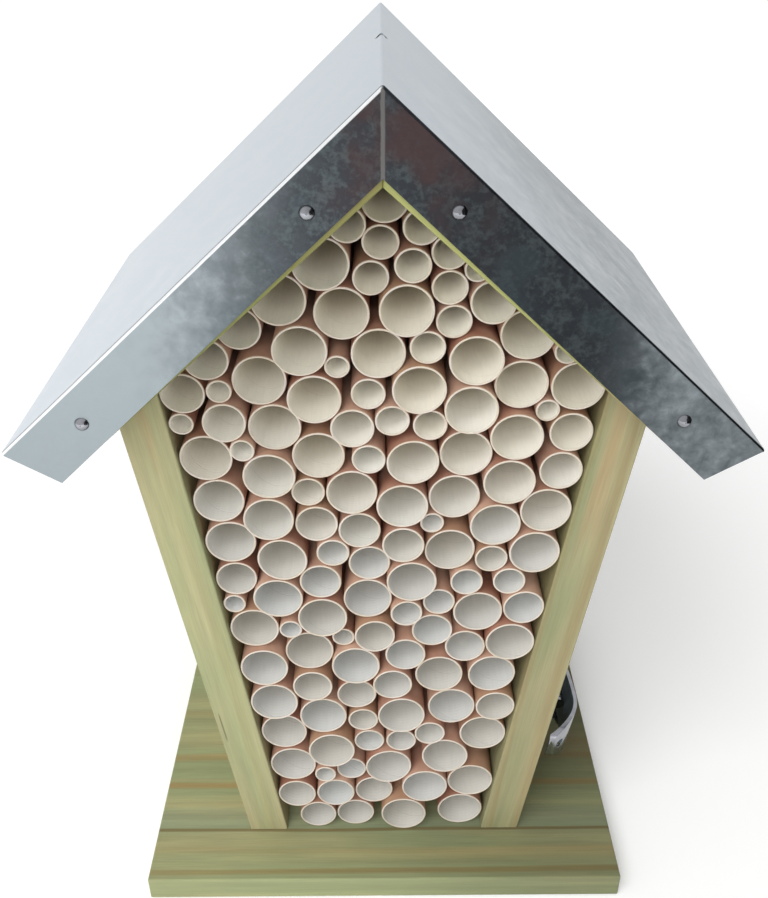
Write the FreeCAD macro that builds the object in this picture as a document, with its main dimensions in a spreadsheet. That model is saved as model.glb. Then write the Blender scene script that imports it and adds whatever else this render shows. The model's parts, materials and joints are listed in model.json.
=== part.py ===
import FreeCAD, Part
import Sketcher
import math
import os
from FreeCAD import Placement, Rotation, Vector

# Bee hotel: two pine walls that lean outwards on a base board, a gable roof of two
# boards under one folded sheet, a hinged back door with a sprung draw latch, and
# courses of paper nesting tubes of four sizes between the walls.
# Frame: millimetres, +Z up, the front faces -Y, origin at the centre of the base's underside.

DRIVING = {
    "base_width": 150,
    "base_depth": 126,
    "base_thick": 9,
    "edge_ease": 0.5,
    "front_margin": 17.6,
    "foot_half": 44.25,
    "wall_thick": 12,
    "wall_lean": 8.2,
    "wall_depth": 82,
    "ridge_height": 244.4,
    "roof_pitch": 43,
    "roof_depth": 129,
    "roof_over": 19.1,
    "roof_board": 14,
    "eave_over": 15,
    "sheet_thick": 0.7,
    "sheet_gap": 0.3,
    "sheet_run": 121.9,
    "sheet_bend": 0.65,
    "flange_width": 13.4,
    "flange_flare": 1.5,
    "flange_back": 4,
    "ridge_hole": 3,
    "door_thick": 9,
    "door_gap": 0.3,
    "door_swing": 95,
    "door_clear": 0.6,
    "gable_side": 15,
    "fit_gap": 0.2,
    "nail_head": 3.4,
    "nail_crown": 1.2,
    "nail_shank": 1.6,
    "nail_length": 16,
    "nail_high": 28.6,
    "nail_low": 101.6,
    "nail_drop": 7.9,
    "screw_shank": 3,
    "screw_head": 6,
    "screw_length": 22,
    "pan_shank": 1.8,
    "pan_head": 3.4,
    "pan_crown": 1.1,
    "pan_length": 9,
    "tube_small": 6.4,
    "tube_middle": 8.9,
    "tube_wide": 11.4,
    "tube_large": 13.7,
    "tube_wall": 0.55,
    "tube_swell": 0.065,
    "tube_space": 0.2,
    "tube_set": 2,
    "tube_room": 1,
    "hinge_tall": 26,
    "hinge_leaf": 15,
    "hinge_plate": 1.2,
    "hinge_pin": 2.2,
    "hinge_low": 34,
    "hinge_high": 112,
    "latch_place": 42,
    "latch_level": 25.7,
    "latch_plate": 1.2,
    "latch_ear": 7.2,
    "latch_pin": 2.4,
    "latch_crank": 8,
    "latch_sheet": 1,
    "latch_lead": 30,
    "latch_fore": 20,
    "latch_aft": 8,
    "lever_reach": 44,
    "lever_arc": 110,
    "lever_curl": 15.5,
    "curl_turn": 68,
    "lever_eye": 3.2,
    "eye_back": 4.6,
    "lever_sheet": 1.2,
    "rod_thick": 2,
    "spring_wire": 0.9,
    "spring_pitch": 1.86,
    "spring_turns": 9,
    "hook_long": 14,
    "strike_tall": 16,
    "strike_lip": 3.2,
    "run_gap": 0.3,
    "pin_gap": 0.05,
}

doc = FreeCAD.newDocument("bee_hotel")
sheet = doc.addObject("Spreadsheet::Sheet", "dims")
for row, (alias, value) in enumerate(DRIVING.items(), 1):
    sheet.set("A%d" % row, alias)
    sheet.set("B%d" % row, str(value))
    sheet.setAlias("B%d" % row, alias)
doc.recompute()

pieces = {}


def size(alias):
    return float(sheet.get(alias))


def number(expression):
    return float(sheet.evalExpression(expression))


def bind(item, **expressions):
    for name, expression in expressions.items():
        item.setExpression(name, expression)
    return item


def at(x, y, z, rotation=None):
    return Placement(Vector(x, y, z), rotation or Rotation())


def turn(axis, degrees):
    return Rotation(Vector(*axis), degrees)


def piece(item, label):
    item.Label = label
    pieces[label] = item
    return item


def box(name, length, width, height, place):
    item = bind(doc.addObject("Part::Box", name), Length=length, Width=width, Height=height)
    item.Placement = place
    return item


def cylinder(name, radius, height, place):
    item = bind(doc.addObject("Part::Cylinder", name), Radius=radius, Height=height)
    item.Placement = place
    return item


def cone(name, radius_low, radius_high, height, place):
    item = bind(doc.addObject("Part::Cone", name), Radius1=radius_low, Radius2=radius_high,
                Height=height)
    item.Placement = place
    return item


def fuse(name, shapes):
    item = doc.addObject("Part::MultiFuse", name)
    item.Shapes = shapes
    item.Refine = True
    return item


def cut(name, base, tools):
    item = doc.addObject("Part::Cut", name)
    item.Base = base
    item.Tool = tools[0] if len(tools) == 1 else fuse(name + "_tools", tools)
    return item


def common(name, shapes):
    item = doc.addObject("Part::MultiCommon", name)
    item.Shapes = shapes
    return item


def group(name, shapes):
    item = doc.addObject("Part::Compound", name)
    item.Links = shapes
    return item


def slab(name, corners, depth, y_place, eased=False):
    # An upright polygon in X and Z, each corner bound to the sheet, padded towards +Y.
    # A board's edges are eased all round.
    body = doc.addObject("PartDesign::Body", name)
    sketch = body.newObject("Sketcher::SketchObject", name + "_outline")
    plane = [f for f in body.Origin.OriginFeatures if f.Role == "XZ_Plane"][0]
    sketch.AttachmentSupport = [(plane, "")]
    sketch.MapMode = "FlatFace"
    points = [Vector(number(x), number(z), 0) for x, z in corners]
    count = len(points)
    for i in range(count):
        sketch.addGeometry(Part.LineSegment(points[i], points[(i + 1) % count]), False)
    for i in range(count):
        sketch.addConstraint(Sketcher.Constraint("Coincident", i, 2, (i + 1) % count, 1))
    for i, (x, z) in enumerate(corners):
        if x == "0":
            sketch.addConstraint(Sketcher.Constraint("PointOnObject", i, 1, -2))
        else:
            k = sketch.addConstraint(
                Sketcher.Constraint("DistanceX", -1, 1, i, 1, points[i].x))
            sketch.setExpression("Constraints[%d]" % k, x)
        if z == "0":
            sketch.addConstraint(Sketcher.Constraint("PointOnObject", i, 1, -1))
        else:
            k = sketch.addConstraint(
                Sketcher.Constraint("DistanceY", -1, 1, i, 1, points[i].y))
            sketch.setExpression("Constraints[%d]" % k, z)
    pad = body.newObject("PartDesign::Pad", name + "_pad")
    pad.Profile = sketch
    pad.Reversed = True
    pad.setExpression("Length", depth)
    if eased:
        doc.recompute()
        ease = body.newObject("PartDesign::Fillet", name + "_eased")
        ease.Base = (pad, ["Edge%d" % (i + 1) for i in range(len(pad.Shape.Edges))])
        ease.setExpression("Radius", "dims.edge_ease")
        body.Tip = ease
    body.Placement = at(0, y_place, 0)
    return body


def mirrored(corners):
    return [("-(%s)" % x if x != "0" else x, z) for x, z in corners]


# Lines of the cross-section. The roof lines are named by their depth below the sheet's top.
TAN_LEAN = "tan(dims.wall_lean * 1 deg)"
COS_LEAN = "cos(dims.wall_lean * 1 deg)"
TAN_ROOF = "tan(dims.roof_pitch * 1 deg)"
COS_ROOF = "cos(dims.roof_pitch * 1 deg)"
SIN_ROOF = "sin(dims.roof_pitch * 1 deg)"
RIDGE = "(dims.base_thick + dims.ridge_height)"
BOARD_TOP = "(dims.sheet_thick + dims.sheet_gap)"
BOARD_LOW = "(dims.sheet_thick + dims.sheet_gap + dims.roof_board)"
WALL_IN = "(dims.foot_half - dims.wall_thick / %s)" % COS_LEAN


def roof_point(along, depth):
    # A point in slope coordinates: along the slope from the ridge and square to it.
    x = "((%s) * %s - (%s) * %s)" % (along, COS_ROOF, depth, SIN_ROOF)
    z = "(%s - (%s) * %s - (%s) * %s)" % (RIDGE, along, SIN_ROOF, depth, COS_ROOF)
    return x, z


def under_ridge(depth):
    return "(%s - (%s) / %s)" % (RIDGE, depth, COS_ROOF)


def wall_top(foot, depth):
    # Where a wall line from its foot meets the roof line at a depth.
    rise = "((%s - dims.base_thick - %s * %s) / (1 + %s * %s))" % (
        under_ridge(depth), TAN_ROOF, foot, TAN_ROOF, TAN_LEAN)
    return "(%s + %s * %s)" % (foot, TAN_LEAN, rise), "(dims.base_thick + %s)" % rise


def wall_at(foot, level):
    return "(%s + %s * (%s - dims.base_thick))" % (foot, TAN_LEAN, level), level


FRONT_Y = -size("base_depth") / 2 + size("front_margin")
REAR_Y = FRONT_Y + size("wall_depth")
DOOR_Y = REAR_Y + size("door_gap")
ROOF_Y = FRONT_Y - size("roof_over")
TOP_Z = size("base_thick")
RIDGE_Z = number(RIDGE)
LEAN = math.radians(size("wall_lean"))
PITCH = math.radians(size("roof_pitch"))
SHANK_FIT = "dims.screw_shank / 2 + dims.pin_gap"


def side_place(side, y, level):
    # A frame on a wall's outer face: Y up the wall, Z outwards.
    x = side * (size("foot_half") + math.tan(LEAN) * level)
    up = Vector(side * math.sin(LEAN), 0, math.cos(LEAN))
    out = Vector(side * math.cos(LEAN), 0, -math.sin(LEAN))
    return Placement(Vector(x, y, TOP_Z + level), Rotation(up.cross(out), up, out, "YZX"))


def dome_set(label, spots, kind):
    # Round-headed nails or screws: Z of each spot points out of the surface.
    made = []
    for i, spot in enumerate(spots):
        name = "%s_%d" % (label, i)
        shank = cylinder(name + "_shank", "dims.%s_shank / 2" % kind, "dims.%s_length" % kind,
                         spot * at(0, 0, -size(kind + "_length")))
        crown = size(kind + "_crown")
        ball = ((size(kind + "_head") / 2) ** 2 + crown ** 2) / (2 * crown)
        head = doc.addObject("Part::Sphere", name + "_head")
        bind(head, Radius="((dims.{0}_head / 2) ^ 2 + dims.{0}_crown ^ 2) / (2 * dims.{0}_crown)"
             .format(kind))
        head.Angle1 = math.degrees(math.asin((ball - crown) / ball))
        head.Placement = spot * at(0, 0, crown - ball)
        made.append(fuse(name, [shank, head]))
    return piece(group(label, made), label)


def dome_bores(label, spots, kind):
    depth = size(kind + "_length") + size("fit_gap")
    return [cylinder("%s_bore_%d" % (label, i), "dims.%s_shank / 2 + dims.pin_gap" % kind,
                     "dims.%s_length + 2 * dims.fit_gap" % kind, spot * at(0, 0, -depth))
            for i, spot in enumerate(spots)]


def sunk_set(label, spots):
    # Countersunk screws whose heads lie flush with the surface.
    made = []
    for i, spot in enumerate(spots):
        name = "%s_%d" % (label, i)
        deep = (size("screw_head") - size("screw_shank")) / 2
        shank = cylinder(name + "_shank", "dims.screw_shank / 2", "dims.screw_length",
                         spot * at(0, 0, -size("screw_length") - size("fit_gap")))
        head = cone(name + "_head", "dims.screw_shank / 2", "dims.screw_head / 2",
                    "(dims.screw_head - dims.screw_shank) / 2",
                    spot * at(0, 0, -deep - size("fit_gap")))
        made.append(fuse(name, [shank, head]))
    return piece(group(label, made), label)


def sunk_bores(label, spots):
    tools = []
    for i, spot in enumerate(spots):
        name = "%s_bore_%d" % (label, i)
        deep = (size("screw_head") - size("screw_shank")) / 2
        tools.append(cylinder(name, SHANK_FIT, "dims.screw_length + 2 * dims.fit_gap",
                              spot * at(0, 0, -size("screw_length") - 2 * size("fit_gap"))))
        tools.append(cone(name + "_sink", SHANK_FIT, "dims.screw_head / 2 + dims.pin_gap",
                          "(dims.screw_head - dims.screw_shank) / 2",
                          spot * at(0, 0, -deep - size("fit_gap"))))
        tools.append(cylinder(name + "_mouth", "dims.screw_head / 2 + dims.pin_gap",
                              "2 * dims.fit_gap", spot * at(0, 0, -size("fit_gap"))))
    return tools


FACING_FRONT = turn((1, 0, 0), 90)
FACING_REAR = turn((1, 0, 0), -90)
FACING_DOWN = turn((1, 0, 0), 180)


def nail_spots(y, facing):
    spots = []
    for side in (-1, 1):
        for along in (size("nail_high"), size("nail_low")):
            x = along * math.cos(PITCH) - size("nail_drop") * math.sin(PITCH)
            z = RIDGE_Z - along * math.sin(PITCH) - size("nail_drop") * math.cos(PITCH)
            spots.append(at(side * x, y, z, facing))
    return spots


FRONT_NAILS = nail_spots(ROOF_Y, FACING_FRONT)
REAR_NAILS = nail_spots(ROOF_Y + size("roof_depth"), FACING_REAR)
INSET = size("wall_depth") / 6
SCREW_ROWS = (FRONT_Y + INSET, REAR_Y - INSET)


def base_spots(side):
    x = side * (number(WALL_IN) + 0.6 * size("wall_thick"))
    return [at(x, y, 0, FACING_DOWN) for y in SCREW_ROWS]


def board_spots(side):
    # Square to the slope, over the outer half of the wall's sloping top.
    x = number(wall_top("dims.foot_half", BOARD_LOW)[0])
    z = number(wall_top("dims.foot_half", BOARD_LOW)[1])
    up = size("wall_thick") * 0.5
    x += -up * math.cos(PITCH) + size("roof_board") * math.sin(PITCH)
    z += up * math.sin(PITCH) + size("roof_board") * math.cos(PITCH)
    tilt = turn((0, 1, 0), side * size("roof_pitch"))
    return [at(side * x, y, z, tilt) for y in SCREW_ROWS]


DOOR_TOP = number("%s - dims.gable_side" % wall_top("dims.foot_half", BOARD_LOW)[1])
DOOR_TOP_TEXT = "(%s - dims.gable_side)" % wall_top("dims.foot_half", BOARD_LOW)[1]
GABLE_LOW_TEXT = "(%s - dims.gable_side + 1)" % wall_top("dims.foot_half", BOARD_LOW)[1]


def gable_spots():
    z = DOOR_TOP + 0.45 * size("gable_side")
    x = number(wall_at("dims.foot_half", str(z))[0]) - size("wall_thick") / 2
    return [at(side * x, REAR_Y + size("door_thick"), z, FACING_REAR) for side in (-1, 1)]


# Base board, with countersunk bores for the wall screws.
BASE_SHAPE = [("dims.base_width / 2", "0"), ("dims.base_width / 2", "dims.base_thick")]
plank = slab("plank", BASE_SHAPE + mirrored(BASE_SHAPE)[::-1], "dims.base_depth",
             -size("base_depth") / 2, True)
piece(cut("base_board", plank, sunk_bores("base_l", base_spots(-1))
          + sunk_bores("base_r", base_spots(1))), "base_board")

# Frames of the latch on the right wall and the two hinges at the left wall's rear edge.
LATCH = side_place(1, FRONT_Y + size("latch_place"), size("latch_level"))
HINGES = [side_place(-1, REAR_Y + size("door_gap") / 2, size(level))
          for level in ("hinge_low", "hinge_high")]

# Latch sizes across the wall face (Z outwards) and up the wall (Y), from the inside out.
SHEET = size("latch_sheet")
PIVOT_X = size("lever_reach") - size("latch_lead")
PIVOT_Z = size("latch_plate") + size("latch_ear")
PIN_R = size("latch_pin") / 2
EAR_R = PIN_R + 1.8 * SHEET
ROD_R = size("rod_thick") / 2
COIL_MEAN = ROD_R + size("run_gap") + size("spring_wire") / 2
COIL_OUT = COIL_MEAN + size("spring_wire") / 2
ROD_Z = PIVOT_Z + PIN_R + SHEET + ROD_R
ROD_Y = COIL_OUT + 2.3 * SHEET
BAR_HALF = ROD_R + SHEET
BAR_END = ROD_Y + COIL_OUT + 0.1 * SHEET
EAR_IN = BAR_END + size("run_gap")
ARM_IN = EAR_IN + SHEET + size("run_gap")
LEVER_END = ARM_IN + SHEET
BAR_X = PIVOT_X - size("latch_crank")
TIP_X = PIVOT_X - size("lever_reach")
ARC = size("lever_arc")
ARC_IN = ARC - size("lever_sheet")
CURL = size("lever_curl")
ARC_X = TIP_X + CURL * math.sin(math.radians(size("curl_turn")))
WEB_END = BAR_X - BAR_HALF - 2 * SHEET
WEB_SAG = ARC_IN - math.sqrt(ARC_IN ** 2 - (WEB_END - ARC_X) ** 2)
WEB_LOW = ROD_Z + COIL_OUT + WEB_SAG + size("run_gap")
SPRING_LONG = size("spring_turns") * size("spring_pitch")
SPRING_END = BAR_X - BAR_HALF - 0.1 * SHEET
SPRING_START = SPRING_END - SPRING_LONG - size("spring_wire")
DOOR_X = size("wall_depth") + size("door_gap") - size("latch_place")
LIP_X = DOOR_X + 0.3 * size("door_thick")
LIP_TOP = SHEET + size("strike_lip")
PLATE_LOW = BAR_X - size("latch_fore")
PLATE_HIGH = PIVOT_X + size("latch_aft")

PAN_R = size("pan_head") / 2
LATCH_SPOTS = [LATCH * at(x, y, size("latch_plate"))
               for x in (PLATE_LOW + 2 * PAN_R, PLATE_HIGH - 1.35 * PAN_R)
               for y in (-ROD_Y, ROD_Y)]
STRIKE_SPOTS = [LATCH * at(DOOR_X + 0.72 * size("door_thick"), share * size("strike_tall"), SHEET)
                for share in (-0.29, 0.29)]
LEAF_SPOTS = [hinge * at(size("hinge_leaf") - 1.2 * size("pan_head"), y, size("hinge_plate"))
              for hinge in HINGES for y in (-size("hinge_tall") / 3, size("hinge_tall") / 3)]
EDGE_SPOTS = [hinge * at(-0.6 * size("door_thick"), y, size("hinge_plate"))
              for hinge in HINGES for y in (-size("hinge_tall") / 3, size("hinge_tall") / 3)]
GABLE_SPOTS = gable_spots()

# Walls: leaning boards with level feet and tops cut to the roof slope.
WALL_SHAPE = [
    ("dims.foot_half", "dims.base_thick"),
    wall_top("dims.foot_half", BOARD_LOW),
    wall_top(WALL_IN, BOARD_LOW),
    (WALL_IN, "dims.base_thick"),
]
left_blank = slab("left_wall_blank", mirrored(WALL_SHAPE), "dims.wall_depth", FRONT_Y, True)
right_blank = slab("right_wall_blank", WALL_SHAPE, "dims.wall_depth", FRONT_Y, True)
piece(cut("left_wall_cut", left_blank,
          sunk_bores("lw_base", base_spots(-1)) + sunk_bores("lw_roof", board_spots(-1))
          + dome_bores("lw_gable", GABLE_SPOTS[:1], "pan") + dome_bores("lw_leaf", LEAF_SPOTS, "pan")),
      "left_wall")
piece(cut("right_wall_cut", right_blank,
          sunk_bores("rw_base", base_spots(1)) + sunk_bores("rw_roof", board_spots(1))
          + dome_bores("rw_gable", GABLE_SPOTS[1:], "pan")
          + dome_bores("rw_latch", LATCH_SPOTS, "pan")), "right_wall")

# Roof boards: mitred at the ridge, drilled there for a hanging wire.
BOARD_RUN = "(dims.sheet_run - dims.eave_over)"
BOARD_SHAPE = [
    ("0", under_ridge(BOARD_TOP)),
    roof_point(BOARD_RUN, BOARD_TOP),
    roof_point(BOARD_RUN, BOARD_LOW),
    ("0", under_ridge(BOARD_LOW)),
]
BOARD_LONG = "dims.roof_depth - 2 * %s" % BOARD_TOP
BOARD_Y = ROOF_Y + number(BOARD_TOP)
RIDGE_SPOT = at(0, ROOF_Y + size("roof_depth") / 2, 0)


def ridge_bore(name):
    return cylinder(name, "dims.ridge_hole / 2", "2 * dims.ridge_height", RIDGE_SPOT)


for side, word, shape in ((-1, "left", mirrored(BOARD_SHAPE)), (1, "right", BOARD_SHAPE)):
    blank = slab(word + "_board_blank", shape, BOARD_LONG, BOARD_Y, True)
    nails = slice(0, 2) if side < 0 else slice(2, 4)
    tools = [ridge_bore(word + "_ridge_bore")]
    tools += sunk_bores(word + "_board", board_spots(side))
    tools += dome_bores(word + "_front", FRONT_NAILS[nails], "nail")
    tools += dome_bores(word + "_rear", REAR_NAILS[nails], "nail")
    piece(cut(word + "_board_cut", blank, tools), word + "_roof_board")

# Roof sheet: one folded plate with a flange turned down over each gable end, which widens
# towards the eaves.
SHEET_RIGHT = [roof_point("dims.sheet_run", "0"), roof_point("dims.sheet_run", "dims.sheet_thick")]
FOLD_SHAPE = [("0", RIDGE)] + SHEET_RIGHT + [("0", under_ridge("dims.sheet_thick"))]
FOLD_SHAPE += mirrored(SHEET_RIGHT)[::-1]
FLANGE_RIGHT = [
    roof_point("dims.sheet_run", "0"),
    roof_point("(dims.sheet_run - dims.flange_back)", "(dims.flange_width + dims.flange_flare)"),
]
FLANGE_SHAPE = [("0", RIDGE)] + FLANGE_RIGHT + [("0", under_ridge("dims.flange_width"))]
FLANGE_SHAPE += mirrored(FLANGE_RIGHT)[::-1]
fold = slab("sheet_fold", FOLD_SHAPE, "dims.roof_depth", ROOF_Y)
front_flange = slab("front_flange", FLANGE_SHAPE, "dims.sheet_thick", ROOF_Y)
rear_flange = slab("rear_flange", FLANGE_SHAPE, "dims.sheet_thick",
                   ROOF_Y + size("roof_depth") - size("sheet_thick"))
folded = fuse("sheet_folded", [fold, front_flange, rear_flange])
doc.recompute()


def on_bend(edge):
    ends = [v.Point for v in edge.Vertexes]
    if len(ends) < 2 or edge.Length < 0.5 * size("sheet_run"):
        return False
    ys = (ROOF_Y, ROOF_Y + size("roof_depth"))
    return all(min(abs(p.y - y) for y in ys) < 1e-4
               and abs(RIDGE_Z - math.tan(PITCH) * abs(p.x) - p.z) < 1e-4 for p in ends)


bent = doc.addObject("Part::Fillet", "sheet_bent")
bent.Base = folded
bend = size("sheet_bend")
bent.Edges = [(i, bend, bend) for i, edge in enumerate(folded.Shape.Edges, 1) if on_bend(edge)]
piece(cut("sheet_cut", bent, [ridge_bore("sheet_ridge_bore")]
          + dome_bores("sheet_front", FRONT_NAILS, "nail")
          + dome_bores("sheet_rear", REAR_NAILS, "nail")), "roof_sheet")

# Back: a fixed gable board under the roof and a hinged door below it.
GABLE_DEPTH = "(%s + dims.fit_gap)" % BOARD_LOW
GABLE_RIGHT = [wall_at("dims.foot_half", GABLE_LOW_TEXT), wall_top("dims.foot_half", GABLE_DEPTH)]
GABLE_SHAPE = GABLE_RIGHT + [("0", under_ridge(GABLE_DEPTH))] + mirrored(GABLE_RIGHT)[::-1]
gable = slab("gable_blank", GABLE_SHAPE, "dims.door_thick", REAR_Y, True)
piece(cut("gable_cut", gable, dome_bores("gable", GABLE_SPOTS, "pan")), "rear_gable")
# The hinge line leans, so the door dips towards the base as it opens and starts above it.
BACK_ROOM = "(dims.base_depth - dims.front_margin - dims.wall_depth)"
SWUNG = "(1 - cos(dims.door_swing * 1 deg)) / sin(dims.door_swing * 1 deg)"
DOOR_DIP = "sin(dims.wall_lean * 1 deg) * (%s * %s + dims.door_thick)" % (BACK_ROOM, SWUNG)
DOOR_LOW = "(dims.base_thick + dims.door_clear + %s)" % DOOR_DIP
DOOR_RIGHT = [wall_at("dims.foot_half", DOOR_LOW),
              wall_at("dims.foot_half", DOOR_TOP_TEXT)]
door = slab("door_blank", DOOR_RIGHT + mirrored(DOOR_RIGHT)[::-1], "dims.door_thick", DOOR_Y, True)
piece(cut("door_cut", door, dome_bores("door_edge", EDGE_SPOTS, "pan")
          + dome_bores("door_strike", STRIKE_SPOTS, "pan")), "back_door")

dome_set("front_roof_nails", FRONT_NAILS, "nail")
dome_set("rear_roof_nails", REAR_NAILS, "nail")
sunk_set("base_screws", base_spots(-1) + base_spots(1))
sunk_set("roof_board_screws", board_spots(-1) + board_spots(1))
dome_set("gable_screws", GABLE_SPOTS, "pan")

# Hinges: the barrel stands clear of the wall face, on the line between wall and door.
KNUCKLE_R = "(dims.hinge_pin / 2 + 1.1)"
AXIS_Z = number(KNUCKLE_R) + size("run_gap")
TALL = size("hinge_tall")
MIDDLE = 0.17 * TALL
GAP = size("run_gap")
UP_WALL = turn((1, 0, 0), -90)


def barrel(name, radius, low, high, hinge):
    # A cylinder on the hinge's pin line between two levels.
    return cylinder(name, radius, str(high - low), hinge * at(0, low, AXIS_Z, UP_WALL))


wall_leaves = []
door_leaves = []
pins = []
for i, hinge in enumerate(HINGES):
    name = "hinge_%d" % i
    plate = box(name + "_wall_plate", "dims.hinge_leaf - dims.run_gap", "dims.hinge_tall",
                "dims.hinge_plate", hinge * at(GAP, -TALL / 2, 0))
    leaf = fuse(name + "_wall_rough", [
        plate,
        barrel(name + "_foot", KNUCKLE_R, -TALL / 2, -MIDDLE - GAP, hinge),
        barrel(name + "_head", KNUCKLE_R, MIDDLE + GAP, TALL / 2, hinge)])
    bore = "dims.hinge_pin / 2 + dims.pin_gap"
    wall_leaves.append(cut(name + "_wall_leaf", leaf, [
        barrel(name + "_wall_bore", bore, -TALL, TALL, hinge),
        barrel(name + "_wall_notch", KNUCKLE_R + " + dims.run_gap", -MIDDLE - GAP, MIDDLE + GAP, hinge)]
        + dome_bores(name + "_leaf", LEAF_SPOTS[2 * i:2 * i + 2], "pan")))
    plate = box(name + "_door_plate", "dims.door_thick - 2 * dims.run_gap", "dims.hinge_tall",
                "dims.hinge_plate",
                hinge * at(-size("door_thick") + GAP, -TALL / 2, 0))
    leaf = fuse(name + "_door_rough", [
        plate, barrel(name + "_knuckle", KNUCKLE_R, -MIDDLE, MIDDLE, hinge)])
    door_leaves.append(cut(name + "_door_leaf", leaf, [
        barrel(name + "_door_bore", bore, -TALL, TALL, hinge),
        barrel(name + "_low_notch", KNUCKLE_R + " + dims.run_gap", -TALL, -MIDDLE, hinge),
        barrel(name + "_high_notch", KNUCKLE_R + " + dims.run_gap", MIDDLE, TALL, hinge)]
        + dome_bores(name + "_edge", EDGE_SPOTS[2 * i:2 * i + 2], "pan")))
    pins.append(barrel(name + "_pin", "dims.hinge_pin / 2", -TALL / 2 - GAP, TALL / 2 + GAP, hinge))
piece(group("hinge_wall_leaves", wall_leaves), "hinge_wall_leaves")
piece(group("hinge_door_leaves", door_leaves), "hinge_door_leaves")
piece(group("hinge_pins", pins), "hinge_pins")
dome_set("hinge_wall_screws", LEAF_SPOTS, "pan")
dome_set("hinge_door_screws", EDGE_SPOTS, "pan")


# Latch. X runs from the lever's tip at the front to the strike on the door.
def block(name, x, y, z):
    # A plain block of the latch between two limits each way.
    return box(name, str(x[1] - x[0]), str(y[1] - y[0]), str(z[1] - z[0]),
               LATCH * at(x[0], y[0], z[0]))


def across(name, radius, x, z, low, high):
    # A cylinder up the wall, on a latch axis.
    return cylinder(name, str(radius), str(high - low), LATCH * at(x, low, z, UP_WALL))


def lengthwise(name, radius, y, start, end):
    # A cylinder along a rod of the hook.
    return cylinder(name, str(radius), str(end - start),
                    LATCH * at(start, y, ROD_Z, turn((0, 1, 0), 90)))


def both(maker):
    return [maker(-1), maker(1)]


def span(side, low, high):
    return (low, high) if side > 0 else (-high, -low)


PIN_FIT = PIN_R + size("pin_gap")
plate = block("latch_foot", (PLATE_LOW, PLATE_HIGH), (-LEVER_END, LEVER_END), (0, size("latch_plate")))
ears = both(lambda s: fuse("ear_%d" % (s + 1), [
    block("ear_foot_%d" % (s + 1), (PIVOT_X - EAR_R, PIVOT_X + EAR_R),
          span(s, EAR_IN, EAR_IN + SHEET), (size("latch_plate") / 2, PIVOT_Z)),
    across("ear_top_%d" % (s + 1), EAR_R, PIVOT_X, PIVOT_Z, *span(s, EAR_IN, EAR_IN + SHEET))]))
piece(cut("latch_base", fuse("latch_base_rough", [plate] + ears),
          [across("ear_bore", PIN_FIT, PIVOT_X, PIVOT_Z, -LEVER_END, LEVER_END)]
          + dome_bores("latch_base", LATCH_SPOTS, "pan")), "latch_plate")
piece(across("pivot_pin", PIN_R, PIVOT_X, PIVOT_Z, -LEVER_END - GAP, LEVER_END + GAP),
      "latch_pivot_pin")

# Lever: a web over the springs that curls in at its round tip, and two cheeks with arms to the pivot.
WEB_TOP = WEB_LOW + size("lever_sheet")
ARC_Z = WEB_TOP - ARC
CURL_Z = WEB_TOP - CURL
ARM_LOW = size("latch_plate") + 1.6 * SHEET
ARM_TOP = ROD_Z - COIL_OUT + 0.2 * SHEET
CHEEK_X = WEB_END - 6 * SHEET
JOURNAL_R = 1.3 * SHEET
LUG_R = 2.5 * SHEET
TIP_ROUND = LEVER_END - 0.4 * SHEET
TIP_LOW = CURL_Z + (CURL - size("lever_sheet")) * math.cos(math.radians(size("curl_turn")))
WEB_TALL = (TIP_LOW, WEB_TOP + SHEET)


def bow(name, radius, z):
    # A ring about an axis up the wall, which the web's plan is cut from.
    inner = radius - size("lever_sheet")
    return cut(name + "_ring", across(name + "_out", radius, ARC_X, z, -LEVER_END, LEVER_END),
               [across(name + "_in", inner, ARC_X, z, -LEVER_END - SHEET, LEVER_END + SHEET)])


tip_plan = fuse("tip_plan", [
    block("tip_long", (TIP_X, ARC_X), (-LEVER_END + TIP_ROUND, LEVER_END - TIP_ROUND), WEB_TALL),
    block("tip_wide", (TIP_X + TIP_ROUND, ARC_X), (-LEVER_END, LEVER_END), WEB_TALL)]
    + both(lambda s: cylinder("tip_corner_%d" % (s + 1), str(TIP_ROUND), str(WEB_TOP + SHEET - TIP_LOW),
                              LATCH * at(TIP_X + TIP_ROUND, s * (LEVER_END - TIP_ROUND), TIP_LOW))))
back_plan = block("back_plan", (ARC_X, WEB_END), (-LEVER_END, LEVER_END), WEB_TALL)
web = [common("lever_tip", [bow("curl", CURL, CURL_Z), tip_plan]),
       common("lever_back", [bow("arc", ARC, ARC_Z), back_plan])]
cheeks = both(lambda s: common("cheek_%d" % (s + 1), [
    across("cheek_disc_%d" % (s + 1), ARC - 0.3 * SHEET, ARC_X, ARC_Z, *span(s, ARM_IN, LEVER_END)),
    block("cheek_limit_%d" % (s + 1), (CHEEK_X, WEB_END), span(s, ARM_IN, LEVER_END),
          (ARM_LOW, WEB_TOP))]))
arms = both(lambda s: fuse("arm_%d" % (s + 1), [
    block("arm_bar_%d" % (s + 1), (CHEEK_X, PIVOT_X), span(s, ARM_IN, LEVER_END),
          (ARM_LOW, ARM_TOP)),
    block("arm_lug_%d" % (s + 1), (BAR_X - LUG_R, BAR_X + LUG_R), span(s, ARM_IN, LEVER_END),
          (ARM_LOW, ROD_Z)),
    across("arm_boss_%d" % (s + 1), LUG_R, BAR_X, ROD_Z, *span(s, ARM_IN, LEVER_END)),
    across("arm_end_%d" % (s + 1), EAR_R - 0.2 * SHEET, PIVOT_X, PIVOT_Z, *span(s, ARM_IN, LEVER_END))]))
slope = size("curl_turn") - math.degrees(size("eye_back") / CURL)
eye = cylinder("lever_eye", "dims.lever_eye / 2", "10 * dims.lever_sheet",
               LATCH * at(ARC_X, 0, CURL_Z, turn((0, 1, 0), -slope))
               * at(0, 0, CURL - 5 * size("lever_sheet")))
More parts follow.
